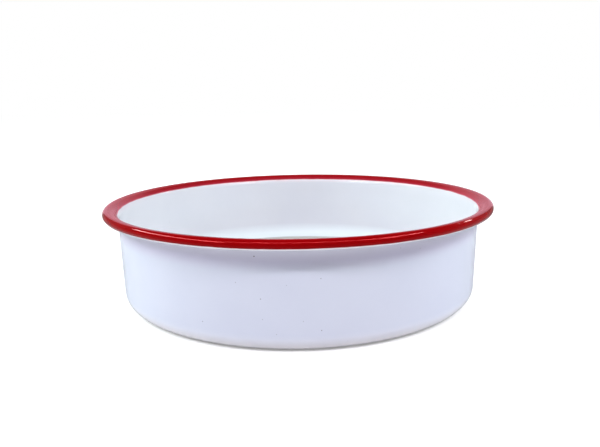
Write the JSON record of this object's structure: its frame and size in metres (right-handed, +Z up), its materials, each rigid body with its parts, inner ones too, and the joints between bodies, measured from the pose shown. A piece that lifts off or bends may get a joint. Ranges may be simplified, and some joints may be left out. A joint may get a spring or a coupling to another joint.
{
  "type": "round baking dish",
  "caption": "Round flat-bottomed enamelled steel baking dish with a near-upright wall and a flared, rolled rim in a contrasting colour.",
  "frame": {"origin": "centre of the face that the dish rests on", "axes": "+Z up along the axis of revolution; X and Y are level and equal, because the dish is round"},
  "size_m": [0.2608, 0.2608, 0.0635],
  "materials": {
    "enamel": "glossy white vitreous enamel, deep red over the rim"
  },
  "bodies": {
    "root": {"dish": "enamel"}
  },
  "joints": []
}
